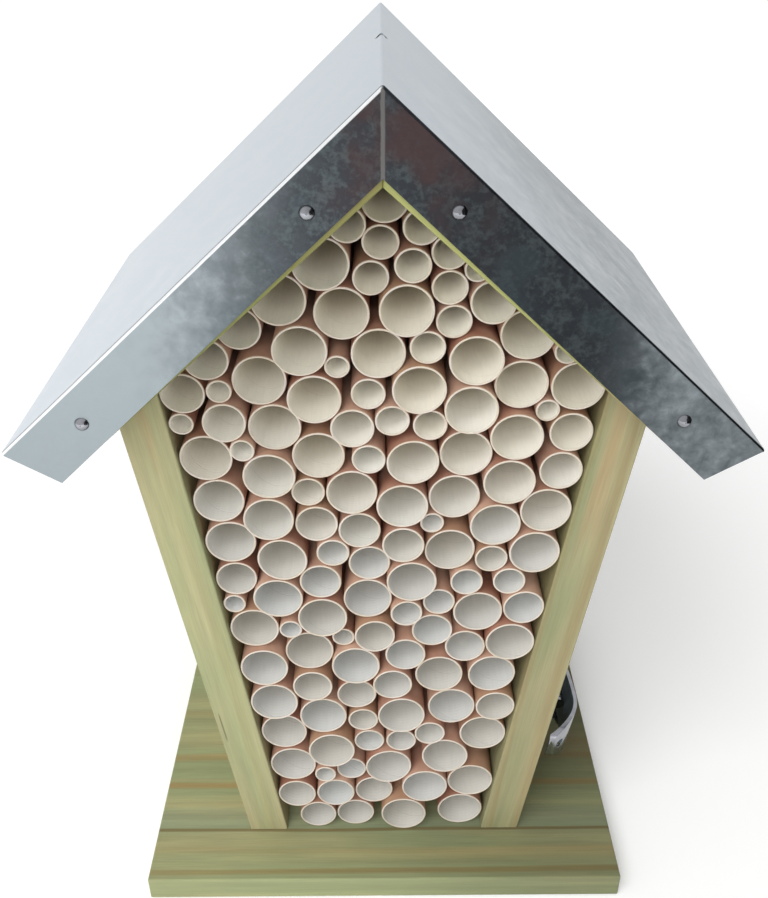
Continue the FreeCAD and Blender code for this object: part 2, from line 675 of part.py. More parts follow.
piece(cut("lever_cut", fuse("lever_rough", web + cheeks + arms), [
    eye,
    across("lever_bore", PIN_FIT, PIVOT_X, PIVOT_Z, -LEVER_END - 1, LEVER_END + 1),
    across("journal_bore", JOURNAL_R + size("pin_gap"), BAR_X, ROD_Z, -LEVER_END - 1, LEVER_END + 1)]),
    "latch_lever")

# The trunnion turns in the lever's arms and carries the hook's two rods.
ROD_FIT = ROD_R + size("pin_gap")
piece(cut("trunnion_cut", fuse("trunnion_rough", [
    block("trunnion_bar", (BAR_X - BAR_HALF, BAR_X + BAR_HALF), (-BAR_END, BAR_END),
          (ROD_Z - BAR_HALF, ROD_Z + BAR_HALF)),
    across("trunnion_ends", JOURNAL_R, BAR_X, ROD_Z, -LEVER_END, LEVER_END)]),
    both(lambda s: lengthwise("trunnion_bore_%d" % (s + 1), ROD_FIT, s * ROD_Y,
                              BAR_X - 2 * BAR_HALF, BAR_X + 2 * BAR_HALF))), "latch_trunnion")

# Hook: two rods with heads that the springs bear on, a plate and a lip behind the strike's lip.
CLAW_X = LIP_X + 1.8 * SHEET
HOOK_PLATE = size("latch_plate")
PLATE_X = LIP_X - size("hook_long")
hook_parts = []
for s in (-1, 1):
    hook_parts.append(lengthwise("rod_%d" % (s + 1), ROD_R, s * ROD_Y, SPRING_START - 1.2 * SHEET,
                                 PLATE_X + 2 * SHEET))
    hook_parts.append(lengthwise("rod_head_%d" % (s + 1), COIL_OUT - 0.1 * SHEET, s * ROD_Y,
                                 SPRING_START - 1.3 * SHEET, SPRING_START - 0.1 * SHEET))
HOOK_HALF = ROD_Y + 1.5 * SHEET
hook_parts.append(block("hook_plate", (PLATE_X, CLAW_X + SHEET), (-HOOK_HALF, HOOK_HALF),
                        (ROD_Z - HOOK_PLATE / 2, ROD_Z + HOOK_PLATE / 2)))
hook_parts.append(block("hook_lip", (CLAW_X, CLAW_X + SHEET), (-HOOK_HALF, HOOK_HALF),
                        (LIP_TOP + GAP, ROD_Z)))
piece(fuse("latch_hook", hook_parts), "latch_hook")

# Strike on the door's edge.
strike = fuse("strike_rough", [
    block("strike_foot", (DOOR_X + GAP, DOOR_X + size("door_thick") - GAP),
          (-size("strike_tall") / 2, size("strike_tall") / 2), (0, SHEET)),
    block("strike_lip", (LIP_X, LIP_X + SHEET), (-ROD_Y - SHEET, ROD_Y + SHEET),
          (SHEET / 2, LIP_TOP))])
piece(cut("strike_cut", strike, dome_bores("strike", STRIKE_SPOTS, "pan")), "latch_strike")
dome_set("latch_screws", LATCH_SPOTS, "pan")
dome_set("strike_screws", STRIKE_SPOTS, "pan")


# Springs: a helical wire round each rod, laid as pairs of tangent arcs for each quarter turn.
def helix_point(angle):
    along = SPRING_START + size("spring_wire") / 2 + size("spring_pitch") * angle / (2 * math.pi)
    return Vector(along, COIL_MEAN * math.cos(angle), COIL_MEAN * math.sin(angle))


def helix_heading(angle):
    heading = Vector(size("spring_pitch") / (2 * math.pi), -COIL_MEAN * math.sin(angle),
                     COIL_MEAN * math.cos(angle))
    return heading.normalize()


def tangent_arc(start, corner, end):
    middle = (start + end) * 0.5
    half = (end - start).Length / 2
    lift = (corner - middle).Length
    radius = (corner - start).Length * half / lift
    rise = radius - math.sqrt(radius ** 2 - half ** 2)
    return Part.Arc(start, middle + (corner - middle) * (rise / lift), end).toShape()


def coil_wire():
    turns = int(round(size("spring_turns")))
    edges = []
    for k in range(4 * turns):
        low, high = k * math.pi / 2, (k + 1) * math.pi / 2
        start, end = helix_point(low), helix_point(high)
        out, into = helix_heading(low), helix_heading(high)
        chord, sway = end - start, out + into
        spread = 2 * (1 - out.dot(into))
        reach = (-chord.dot(sway) + math.sqrt(chord.dot(sway) ** 2 + spread * chord.dot(chord))) / spread
        first, second = start + out * reach, end - into * reach
        joint = (first + second) * 0.5
        edges.append(tangent_arc(start, first, joint))
        edges.append(tangent_arc(joint, second, end))
    ring = Part.Circle(helix_point(0), helix_heading(0), size("spring_wire") / 2).toShape()
    path = Part.Wire(edges)
    return path.makePipeShell([Part.Wire([ring])], True, False)


def coil_gap():
    # Least gap of the coil to itself, from points along its centre line.
    fine = [helix_point(i * math.pi / 24) for i in range(int(48 * size("spring_turns")) + 1)]
    near = min((fine[i] - fine[j]).Length for i in range(len(fine)) for j in range(i + 24, len(fine)))
    return near - size("spring_wire")


print("spring: least gap to itself %.2f mm" % coil_gap())
coils = []
for s in (-1, 1):
    coil = doc.addObject("Part::Feature", "spring_%d" % (s + 1))
    coil.Shape = coil_wire()
    coil.Placement = LATCH * at(0, s * ROD_Y, ROD_Z)
    coils.append(coil)
piece(group("latch_springs", coils), "latch_springs")

# The tubes, course by course from the base, as they lie seen from the front. Letters are the
# four sizes from small to large; a dot is a space, < a closer place, and ^ or v lifts or lowers
# the tube before it. The lower courses are wound a little wider, by up to tube_swell.
COURSES = [
    "..cc..d..d",
    "cvccv.d^d^",
    "davvbvd..d^.....",
    "d^dvvbvbb^..d",
    "d^^dbvvdd^c^",
    ".......cvcvvcd^^.d^.",
    "dvddvc...c^d^^",
    "dvav<d^<<avvcv..cvd^^c^^",
    "avv.dc^^dvbvvvbvv<b^.b^^....",
    "cvvd.b^cvdvvv<<d^bd^",
    "dvv<d^ccvcvva...dd^^",
    "dvd^^<bdvdvvdvd^c^^",
    "da....dvbvdvdd^^c^^",
    "avcdv...cvbbv<d^.....a.....",
    "cvavddvv<<<a^^bvdv......dvdv.",
    "cvv<<c^^<d...dvbvdvv<d^<av",
    "d^<dvdvbvv<c",
    "d<bvvbbvv<av",
    "bv<bvvb<bvvv",
    "cvv",
]
KINDS = {"a": "tube_small", "b": "tube_middle", "c": "tube_wide", "d": "tube_large"}
SPACE = 0.146 * size("tube_large")
LIFT = 0.182 * size("tube_large")
LOW_RISE = 0.861 * size("tube_large")
HIGH_RISE = 0.752 * size("tube_large")
LOW_COURSES = 12
INNER_FOOT = number(WALL_IN)
INNER_RIDGE = number(under_ridge(BOARD_LOW)) - TOP_Z


class Tube:
    def __init__(self, kind, course, x, z):
        self.kind = kind
        self.course = course
        self.share = max(0, 1 - course / (LOW_COURSES + 1))
        self.r = size(KINDS[kind]) / 2 * (1 + size("tube_swell") * self.share)
        self.x = x
        self.z = z

    def wall_room(self):
        return (INNER_FOOT + math.tan(LEAN) * self.z - abs(self.x)) * math.cos(LEAN) - self.r

    def roof_room(self):
        return (INNER_RIDGE - self.z - math.tan(PITCH) * abs(self.x)) * math.cos(PITCH) - self.r

    def room(self, other):
        return math.hypot(other.x - self.x, other.z - self.z) - self.r - other.r

    def reach(self):
        wall = INNER_FOOT + math.tan(LEAN) * self.z - self.r / math.cos(LEAN)
        roof = (INNER_RIDGE - self.z - self.r / math.cos(PITCH)) / math.tan(PITCH)
        return min(wall, roof)


def lay_course(index, marks):
    level = size("tube_large") / 2 + 2 * size("tube_space")
    level += LOW_RISE * min(index, LOW_COURSES) + HIGH_RISE * max(0, index - LOW_COURSES)
    row = []
    along = 0.0
    for mark in marks:
        if mark in KINDS:
            tube = Tube(mark, index, along, level)
            tube.x += tube.r
            along += 2 * tube.r
            row.append(tube)
        elif mark in ".<":
            along += SPACE if mark == "." else -SPACE
        else:
            row[-1].z += LIFT if mark == "^" else -LIFT
    left = -row[0].reach() - row[0].r
    right = row[-1].reach() + row[-1].r
    slack = (right - left - along) / (len(row) + 1)
    for i, tube in enumerate(row, 1):
        tube.x += left + slack * i
    return [tube for tube in row if tube.roof_room() > -0.08 * size("tube_large")]


def push_apart(tubes, space):
    for i, tube in enumerate(tubes):
        for other in tubes[i + 1:]:
            short = space - tube.room(other)
            if short > 0:
                apart = math.hypot(other.x - tube.x, other.z - tube.z) or 1.0
                dx = (other.x - tube.x) / apart * short / 2
                dz = (other.z - tube.z) / apart * short / 2
                tube.x -= dx
                tube.z -= dz
                other.x += dx
                other.z += dz
        side = 1 if tube.x > 0 else -1
        short = space - tube.wall_room()
        if short > 0:
            tube.x -= side * short * math.cos(LEAN)
            tube.z += short * math.sin(LEAN)
        short = space - tube.roof_room()
        if short > 0:
            tube.x -= side * short * math.sin(PITCH)
            tube.z -= short * math.cos(PITCH)
        tube.z = max(tube.z, tube.r + space)


def draw_in(tube, tubes, space):
    # Moves a loose tube a little towards the nearest thing below or beside it.
    side = 1 if tube.x > 0 else -1
    near = [(tube.z - tube.r, 0.0, -1.0),
            (tube.wall_room(), side * math.cos(LEAN), -math.sin(LEAN))]
    for other in tubes:
        if other is not tube and other.z < tube.z + 0.3 * tube.r:
            apart = math.hypot(other.x - tube.x, other.z - tube.z)
            near.append((tube.room(other), (other.x - tube.x) / apart, (other.z - tube.z) / apart))
    loose, dx, dz = min(near)
    if loose > space:
        tube.x += 0.1 * (loose - space) * dx
        tube.z += 0.1 * (loose - space) * dz


def settle(tubes):
    # Leaves out what finds no room and lets the rest close up.
    space = size("tube_space")
    for step in range(260):
        if step < 60:
            for tube in tubes:
                draw_in(tube, tubes, space)
        push_apart(tubes, space)
    kept = []
    for tube in tubes:
        rooms = [tube.room(other) for other in kept] + [tube.wall_room(), tube.roof_room()]
        if min(rooms) > 0.4 * space:
            kept.append(tube)
    return kept if len(kept) == len(tubes) else settle(kept)


stack = []
for index, marks in enumerate(COURSES):
    stack += lay_course(index, marks)
stack = settle(stack)
print("tubes: %d laid in %d courses" % (len(stack), len(COURSES)))

ALONG_Y = turn((1, 0, 0), -90)
laid = {kind: [] for kind in KINDS}
for i, tube in enumerate(stack):
    name = "tube_%03d" % i
    recess = size("tube_set") * (0.5 + 0.5 * math.sin(2.4 * i))
    place = at(tube.x, FRONT_Y + recess, TOP_Z + tube.z, ALONG_Y)
    outside = "dims.%s / 2 * (1 + dims.tube_swell * %r)" % (KINDS[tube.kind], tube.share)
    long = "dims.wall_depth - dims.tube_set - dims.tube_room"
    skin = cylinder(name + "_skin", outside, long, place)
    hollow = cylinder(name + "_hollow", outside + " - dims.tube_wall", long, place)
    laid[tube.kind].append(cut(name, skin, [hollow]))
for kind, tubes in laid.items():
    label = "%s_tubes" % KINDS[kind].split("_")[1]
    piece(group(label, tubes), label)

doc.recompute()
for item in doc.Objects:
    if "Invalid" in item.State or "Error" in item.State:
        raise RuntimeError("%s did not rebuild: %s" % (item.Label, item.State))
for label, item in pieces.items():
    if item.Shape.isNull() or not item.Shape.isValid() or not item.Shape.Solids:
        raise RuntimeError("%s has no valid solid" % label)

os.makedirs("parts", exist_ok=True)
for label, item in pieces.items():
    item.Shape.exportStep("parts/%s.step" % label)
print("pieces: %d nodes" % len(pieces))
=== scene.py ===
import json
import math
import random

import bmesh
import bpy
from mathutils import Matrix, Vector

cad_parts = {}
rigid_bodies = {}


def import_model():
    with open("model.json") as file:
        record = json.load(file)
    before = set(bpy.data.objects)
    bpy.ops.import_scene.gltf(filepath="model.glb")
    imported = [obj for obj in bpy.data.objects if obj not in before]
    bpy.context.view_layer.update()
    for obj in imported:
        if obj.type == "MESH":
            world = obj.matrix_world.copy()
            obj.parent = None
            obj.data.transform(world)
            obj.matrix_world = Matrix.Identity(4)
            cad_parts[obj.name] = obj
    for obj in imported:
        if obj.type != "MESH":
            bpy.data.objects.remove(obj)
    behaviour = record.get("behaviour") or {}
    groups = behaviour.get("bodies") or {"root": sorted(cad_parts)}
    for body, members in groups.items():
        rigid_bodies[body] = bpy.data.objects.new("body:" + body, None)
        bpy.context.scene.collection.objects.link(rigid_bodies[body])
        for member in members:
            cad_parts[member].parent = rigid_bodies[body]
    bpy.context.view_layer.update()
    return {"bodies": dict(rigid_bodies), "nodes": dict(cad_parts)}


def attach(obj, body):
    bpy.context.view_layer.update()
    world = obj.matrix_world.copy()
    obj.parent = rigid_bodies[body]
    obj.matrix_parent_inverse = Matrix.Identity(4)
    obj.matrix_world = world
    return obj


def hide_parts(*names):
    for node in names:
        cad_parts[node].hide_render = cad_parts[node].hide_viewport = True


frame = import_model()
nodes = frame["nodes"]
scene = bpy.context.scene
dice = random.Random(11)


# a wire takes part in sums, and each sum adds its Math node
class Wire:
    def __init__(self, graph, socket):
        self.graph = graph
        self.socket = socket

    def sum(self, operation, *values):
        return self.graph.add("ShaderNodeMath", {"operation": operation}, dict(enumerate(values)))

    def sister(self, name):   # another output of the same node
        return Wire(self.graph, self.socket.node.outputs[name])

    def fraction(self):
        return self.sum("FRACT", self)

    def most(self, other):
        return self.sum("MAXIMUM", self, other)

    def __add__(self, other):
        return self.sum("ADD", self, other)

    def __sub__(self, other):
        return self.sum("SUBTRACT", self, other)

    def __rsub__(self, other):
        return self.sum("SUBTRACT", other, self)

    def __mul__(self, other):
        return self.sum("MULTIPLY", self, other)

    def __truediv__(self, other):
        return self.sum("DIVIDE", self, other)

    def __pow__(self, other):
        return self.sum("POWER", self, other)

    def __abs__(self):
        return self.sum("ABSOLUTE", self)

    __radd__ = __add__
    __rmul__ = __mul__


class Graph:
    def __init__(self, tree):
        self.tree = tree

    def add(self, kind, settings=None, sockets=None, out=0):
        node = self.tree.nodes.new(kind)
        for key, value in (settings or {}).items():
            setattr(node, key, value)
        for key, value in (sockets or {}).items():
            self.feed(node.inputs[key], value)
        return Wire(self, node.outputs[out])

    def feed(self, socket, value):
        if isinstance(value, Wire):
            self.tree.links.new(value.socket, socket)
        else:
            socket.default_value = value

    def axes(self, vector):
        first = self.add("ShaderNodeSeparateXYZ", sockets={0: vector})
        return [first.sister(axis) for axis in "XYZ"]

    def length(self, vector):
        return self.add("ShaderNodeVectorMath", {"operation": "LENGTH"}, {0: vector}, out="Value")

    def stretch(self, vector, scale, turn=(0, 0, 0), shift=(0, 0, 0)):
        return self.add("ShaderNodeMapping", sockets={
            "Vector": vector, "Location": shift, "Rotation": turn, "Scale": scale})

    def noise(self, vector, scale=1.0, detail=2.0, rough=0.5, twist=0.0):
        return self.add("ShaderNodeTexNoise", sockets={
            "Vector": vector, "Scale": scale, "Detail": detail, "Roughness": rough, "Distortion": twist})

    def span(self, value, low, high, toLow=0.0, toHigh=1.0):
        return self.add("ShaderNodeMapRange", {"interpolation_type": "SMOOTHSTEP", "clamp": True}, {
            0: value, 1: low, 2: high, 3: toLow, 4: toHigh})

    def fall(self, value, low, high):
        return self.span(value, low, high, 1.0, 0.0)

    def mix(self, share, first, second, blend="MIX"):
        return self.add("ShaderNodeMix", {"data_type": "RGBA", "blend_type": blend},
                        {0: share, 6: first, 7: second}, out=2)

    def evenGrey(self, level):
        return self.add("ShaderNodeCombineColor", sockets={0: level, 1: level, 2: level})

    def dim(self, colour, level):
        return self.mix(1.0, colour, self.evenGrey(level), "MULTIPLY")


class Finish(Graph):
    def __init__(self, name, **fixed):
        self.material = bpy.data.materials.new(name)
        self.material.use_nodes = True
        super().__init__(self.material.node_tree)
        self.shader = self.tree.nodes["Principled BSDF"]
        self.set(**fixed)

    def set(self, **sockets):
        for name, value in sockets.items():
            self.feed(self.shader.inputs[name.replace("_", " ")], value)

    def place(self):
        return self.add("ShaderNodeTexCoord", out="Object")

    def bump(self, height, strength, distance):
        self.set(Normal=self.add("ShaderNodeBump", sockets={
            "Height": height, "Strength": strength, "Distance": distance}))


def paint(red, green, blue):
    # a colour as read off a screen, made linear
    def linear(value):
        share = value / 255
        return share / 12.92 if share <= 0.04045 else ((share + 0.055) / 1.055) ** 2.4
    return (linear(red), linear(green), linear(blue), 1.0)


def grey(level):
    return (level, level, level, 1.0)


# pieces that dress a CAD node or stand for one
bodyOf = {node: body for body, empty in frame["bodies"].items()
          for node in nodes if nodes[node].parent == empty}


def dress(node, finish):
    mesh = nodes[node].data
    mesh.materials.clear()
    mesh.materials.append(finish.material)


def boxOf(points):
    return [Vector([end(point[axis] for point in points) for axis in range(3)]) for end in (min, max)]


def merged(node):
    # a CAD node's mesh with its loose triangles joined
    mesh = bmesh.new()
    mesh.from_mesh(nodes[node].data)
    bmesh.ops.remove_doubles(mesh, verts=mesh.verts, dist=1e-6)
    return mesh


def addObject(mesh, name):
    data = bpy.data.meshes.new(name)
    mesh.to_mesh(data)
    mesh.free()
    item = bpy.data.objects.new(name, data)
    scene.collection.objects.link(item)
    return item


def finishMesh(mesh, name, body, sharp=40):
    for edge in mesh.edges:
        edge.smooth = len(edge.link_faces) != 2 or edge.calc_face_angle() < math.radians(sharp)
    for face in mesh.faces:
        face.smooth = True
    item = addObject(mesh, name)
    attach(item, body)
    return item


def smoothPiece(node, finish, sharp=32):
    # stands for a CAD node, with its round faces shaded smooth
    words = node.split("_")
    name = words[0] + "".join(word.title() for word in words[1:])
    item = finishMesh(merged(node), name, bodyOf[node], sharp)
    item.data.materials.append(finish.material)
    flat = item.modifiers.new("flatFaces", "WEIGHTED_NORMAL")   # broad faces stay flat beside their bends
    flat.keep_sharp = True
    flat.weight = 100
    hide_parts(node)
    return item


# treated pine
pineLook = {
    "pale": paint(192, 184, 142),
    "green": paint(166, 172, 128),
    "late": paint(172, 144, 94),
    "blush": paint(198, 162, 118),
    "crack": paint(70, 58, 40),
    # brown of the patch beside the right wall, partly stain and partly painted shade
    "wet": paint(70, 58, 34),
    "bore": paint(24, 24, 26),
    "sway": (5, 26),   # this noise and the next five: waves a metre along the grain and across it
    "weight": (3, 70),
    "tint": (7, 44),
    "stain": (14, 130),
    "streak": (10, 320),
    "fibre": (80, 2400),
    "taper": 0.05,
    "ring": 0.0085,
    "ringSway": 0.012,
    "offset": 0.0,
    "lineRise": (0.5, 0.88),
    "lineFall": (0.9, 1.0),
    "heavy": (0.36, 0.62),
    "share": 0.4,
    "tone": 0.5,
    "toneHalf": 0.13,
    "blushed": (0.56, 0.76),
    "stained": 0.5,
    "bands": [],   # each one's place across the board, half width, colour and share
    "bandCore": 0.3,
    "bandSway": 0.008,
    "bandBreaks": (0.25, 0.5, 0.5, 1.0),
    "cracks": [],   # each one's place along the board and through it, and half length
    "crackCore": 0.6,
    "crackSway": 0.0016,
    "crackEdge": (0.00012, 0.0003),
    "crackShare": 0.5,
    "dampSway": (0.004, 0.01),
    "dampFade": (0.012, 0.026),
    "boreEdge": 0.0002,
    "fibreTone": (0.3, 0.7, 0.92, 1.05),
    "streakTone": (0.3, 0.7, 0.9, 1.07),
    "level": 0.8,
    # where and how far a board is painted darker towards the right, as shade
    "rightShadeFade": (-0.02, 0.06),
    "rightPaintedLightLevel": 1.0,
    "rough": (0.25, 0.75, 0.62, 0.82),
    "relief": 0.3,
    "fibreDepth": 0.0002,
}
lean = 8.2   # degrees
pitch = 43


def leanTurn(angle):
    # turns a board's length, at this angle from upright about Y, onto X
    return (0, math.radians(90 - angle), 0)


boards = {
    "base_board": {
        "turn": (0, 0, 0), "pith": (0.2, 0.2, 0.05), "ring": 0.0134, "offset": 0.63, "share": 0.35,
        "tone": 0.48, "stained": 0.15, "level": 0.95, "rightPaintedLightLevel": 0.66,
        "damp": (0.042, -0.034, 0.5),   # its left and front edges, and its share, for a patch that is partly brown stain, partly painted shade
        "pale": paint(168, 163, 120), "green": paint(146, 152, 112),
        "bands": [(-0.0415, 0.0065, paint(128, 146, 120), 0.55), (-0.0274, 0.0016, paint(164, 134, 84), 0.6),
                  (-0.016, 0.002, paint(170, 138, 88), 0.55), (-0.0455, 0.0009, paint(116, 96, 56), 0.7),
                  (-0.0601, 0.0014, paint(138, 116, 70), 0.6)]},
    "left_wall": {
        "turn": leanTurn(-lean), "pith": (0.1, 0.02, 0.09), "tone": 0.56, "share": 0.25, "level": 0.76,
        "cracks": [(0.064, 0.0408, 0.0072)]},
    "right_wall": {
        "turn": leanTurn(lean), "pith": (0.5, 0.05, -0.11), "tone": 0.55, "share": 0.35, "level": 0.62},
    # both roof boards are painted darker than the other pine, the left one more, as the shade under the
    # roof's flanges
    "left_roof_board": {
        "turn": leanTurn(-90 - pitch), "pith": (0.3, 0.02, 0.3), "hole": 0.0017,
        "pale": paint(146, 147, 90), "green": paint(124, 134, 78)},
    "right_roof_board": {
        "turn": leanTurn(90 + pitch), "pith": (0.7, 0.03, 0.31), "hole": 0.0017,
        "pale": paint(166, 168, 106), "green": paint(144, 156, 92)},
    "rear_gable": {"turn": (0, 0, 0), "pith": (0.9, 0.05, -0.12), "tone": 0.55},
    "back_door": {"turn": leanTurn(0), "pith": (0.4, 0.03, 0.05), "tone": 0.52, "share": 0.5},
}


def pineFinish(name, own):
    look = {**pineLook, **own}
    wood = Finish(name, Specular_IOR_Level=0.3)
    where = wood.place()
    x, y = wood.axes(where)[:2]
    laid = wood.stretch(where, (1, 1, 1), look["turn"])
    along, across, through = wood.axes(laid)
    grain = wood.stretch(laid, (1, 1, 1), shift=look["pith"])

    def grown(kind, shift=(0, 0, 0), **settings):
        long, wide = look[kind]
        return wood.noise(wood.stretch(grain, (long, wide, wide), shift=shift), **settings)

    sway = grown("sway")
    weight = grown("weight", detail=1)
    tint = grown("tint", (3, 1, 7), detail=3)
    stain = grown("stain", (8, 5, 2))
    streak = grown("streak", detail=3, rough=0.55)
    fibre = grown("fibre", detail=3, rough=0.6)
    radial = wood.length(wood.stretch(grain, (look["taper"], 1, 1)))
    phase = ((radial + sway * look["ringSway"]) / look["ring"] + look["offset"]).fraction()
    line = wood.span(phase, *look["lineRise"]) * wood.fall(phase, *look["lineFall"])
    late = line * wood.span(weight, *look["heavy"]) * look["share"]
    greened = wood.span(tint, look["tone"] - look["toneHalf"], look["tone"] + look["toneHalf"])
    colour = wood.mix(greened, look["pale"], look["green"])
    colour = wood.mix(late, colour, look["late"])
    colour = wood.mix(wood.span(stain, *look["blushed"]) * look["stained"], colour, look["blush"])
    for place, half, shade, share in look["bands"]:
        aside = abs(across + (sway - 0.5) * look["bandSway"] - place)
        band = wood.span(aside, half * look["bandCore"], half, share, 0.0)
        colour = wood.mix(band * wood.span(weight, *look["bandBreaks"]), colour, shade)
    for place, side, half in look["cracks"]:
        aside = abs(through + (streak - 0.5) * look["crackSway"] - side)
        split = wood.fall(abs(along - place), half * look["crackCore"], half)
        split = split * wood.fall(aside, *look["crackEdge"]) * look["crackShare"]
        colour = wood.mix(split, colour, look["crack"])
    if "damp" in look:   # a dark brown patch beside the right wall: partly the wood's own stain, partly painted shade from the house
        left, front, share = look["damp"]
        damp = wood.span(x + streak * look["dampSway"][0], left, left + look["dampFade"][0])
        damp = damp * wood.span(y + sway * look["dampSway"][1], front, front + look["dampFade"][1])
        colour = wood.mix(damp * share, colour, look["wet"])
    if "hole" in look:   # the board seen through the ridge's eye is painted near black: shade, with some dirt
        bore = wood.fall((x * x + y * y) ** 0.5, look["hole"], look["hole"] + look["boreEdge"])
        colour = wood.mix(bore, colour, look["bore"])
    level = wood.span(fibre, *look["fibreTone"]) * wood.span(streak, *look["streakTone"])
    # painted shade: the board darkens towards the right, most on the base beside the house
    level = level * wood.span(x, *look["rightShadeFade"], 1.0, look["rightPaintedLightLevel"]) * look["level"]
    wood.set(Base_Color=wood.dim(colour, level), Roughness=wood.span(fibre, *look["rough"]))
    wood.bump(fibre * 0.5 + streak * 0.5 + late * 0.7, look["relief"], look["fibreDepth"])
    return wood


for node, own in boards.items():
    dress(node, pineFinish("pine " + node.replace("_", " "), own))
print("pine: %d boards" % len(boards))


# galvanised roof sheet
sheetLook = {
    "plane": paint(204, 213, 220),
    "planeRightShaded": paint(138, 147, 152),
    "planeShadeFade": (0.0, 0.066),
    # the flange's light and dark colours are painted reflection, the dark one mottled by the spangle
    "light": paint(149, 158, 162),
    "dark": paint(50, 53, 57),
    "flecks": paint(80, 88, 90),
    "cool": paint(66, 77, 81),
    "warm": paint(68, 52, 52),
    "rear": paint(176, 185, 190),
    "bendDarkReflection": paint(72, 76, 82),
    "bendDarkLine": paint(118, 124, 130),
    "bendHighlight": paint(250, 252, 253),
    "seam": paint(98, 97, 96),
    "grains": 900,
    "blotches": 330,
    "clouds": 70,
    "darkFrom": (-0.066, -0.006),
    "darkTo": (0.042, 0.066, 1.0, 0.55),
    "ragged": (0.9, 0.5),   # at the dark part's edges and all over
    "mottleMid": 0.48,
    "fleckSpan": (0.42, 0.64),
    "fleckShare": 0.7,
    "coolSpan": (0.5, 0.66),
    "coolShare": 0.5,
    "halves": (-0.02, 0.02),
    "leftPaintedLightLevel": 1.3,
    "rightPaintedLightLevel": 0.66,
    "warmFrom": (-0.016, -0.004),
    "warmTo": (0.006, 0.032),
    "warmRise": (0.208, 0.232),
    "warmSpan": (0.36, 0.6),
    "warmShare": 0.8,
    "apex": (-0.0006, 0.0002),
    "strip": (0.00034, 0.00064),   # the painted highlight strip below the left bend
    "highlightStripShare": 0.9,
    "seamEdge": (0.00027, 0.000585),
    "seamSway": 0.0003,
    "seamShare": 0.9,
    "skin": 0.00002,   # depths behind the flange's face
    "skinFade": 0.00006,
    "bend": 0.0006,
    "bendFade": 0.00004,
    "bendGlint": (0.00025, 0.00035),
    "tone": (0.35, 0.65, 0.95, 1.03),
    "rough": (0.35, 0.65, 0.3, 0.42),
    "relief": 0.2,
    "depth": 0.0002,
}


def sheetFinish():
    look = sheetLook
    low, high = boxOf([vert.co for vert in nodes["roof_sheet"].data.vertices])
    face, rearFace = -low.y - look["skin"], high.y - look["skin"]
    bendStart = -low.y - look["bend"]
    slope = math.radians(pitch)
    zinc = Finish("galvanised sheet", Metallic=1.0)
    where = zinc.place()
    x, y, z = zinc.axes(where)
    ahead = y * -1
    right = zinc.span(x, *look["apex"])
    grainy = zinc.noise(where, look["grains"], 3, 0.6)
    blotch = zinc.noise(where, look["blotches"], 4, 0.6, 0.3)
    cloud = zinc.noise(where, look["clouds"], 3, 0.55)
    mottle = blotch * 0.5 + cloud * 0.35 + grainy * 0.15   # shares that make one
    fine = blotch * 0.6 + grainy * 0.4
    # painted reflection: most of the front flange is darkened as if it mirrored a dark floor
    dark = zinc.span(x, *look["darkFrom"]) * zinc.span(x, *look["darkTo"])
    edge = dark * (1 - dark) * 4   # one where the dark is half done
    ragged = edge * look["ragged"][0] + look["ragged"][1]
    dark = zinc.span(dark + (mottle - look["mottleMid"]) * ragged, 0.0, 1.0)
    shade = zinc.mix(zinc.span(fine, *look["fleckSpan"]) * look["fleckShare"], look["dark"], look["flecks"])
    shade = zinc.mix(zinc.span(cloud, *look["coolSpan"]) * look["coolShare"], shade, look["cool"])
    # painted reflection: the dark is lighter on the left half and darker on the right half
    shade = zinc.dim(shade, zinc.span(x, *look["halves"], look["leftPaintedLightLevel"], look["rightPaintedLightLevel"]))
    flange = zinc.mix(dark, look["light"], shade)
    # painted reflection: a warm brown patch on the flange near the apex
    warm = zinc.span(x, *look["warmFrom"]) * zinc.fall(x, *look["warmTo"])
    warm = warm * zinc.span(cloud, *look["warmSpan"]) * zinc.span(z, *look["warmRise"])
    flange = zinc.mix(warm * look["warmShare"], flange, look["warm"])
    below = (high.z - z) * math.cos(slope) - abs(x) * math.sin(slope)
    # painted highlight: a white strip below the left bend
    strip = zinc.fall(below, *look["strip"]) * (1 - right) * look["highlightStripShare"]
    flange = zinc.mix(strip, flange, look["bendHighlight"])
    seam = zinc.fall(abs(x + (blotch - 0.5) * look["seamSway"]), *look["seamEdge"])
    flange = zinc.mix(seam * look["seamShare"], flange, look["seam"])
    front = zinc.span(ahead, face - look["skinFade"], face)
    back = zinc.span(y, rearFace - look["skinFade"], rearFace)
    # painted highlight on the left bend with a dark line above it, painted dark reflection along the right
    # bend
    glint = zinc.span(ahead, *[bendStart + depth for depth in look["bendGlint"]])
    bend = zinc.mix(right, zinc.mix(glint, look["bendDarkLine"], look["bendHighlight"]), look["bendDarkReflection"])
    # painted shade: the right roof plane is darker, as if lit less from the left
    plane = zinc.mix(zinc.span(x, *look["planeShadeFade"]), look["plane"], look["planeRightShaded"])
    colour = zinc.mix(zinc.span(ahead, bendStart, bendStart + look["bendFade"]), plane, bend)
    colour = zinc.mix(front, colour, flange)
    colour = zinc.mix(back, colour, look["rear"])
    colour = zinc.dim(colour, zinc.span(mottle, *look["tone"]))
    zinc.set(Base_Color=colour, Roughness=zinc.span(mottle, *look["rough"]))
    zinc.bump(blotch * 0.1 + seam * front, look["relief"], look["depth"])
    return zinc


smoothPiece("roof_sheet", sheetFinish())
print("sheet: galvanised")


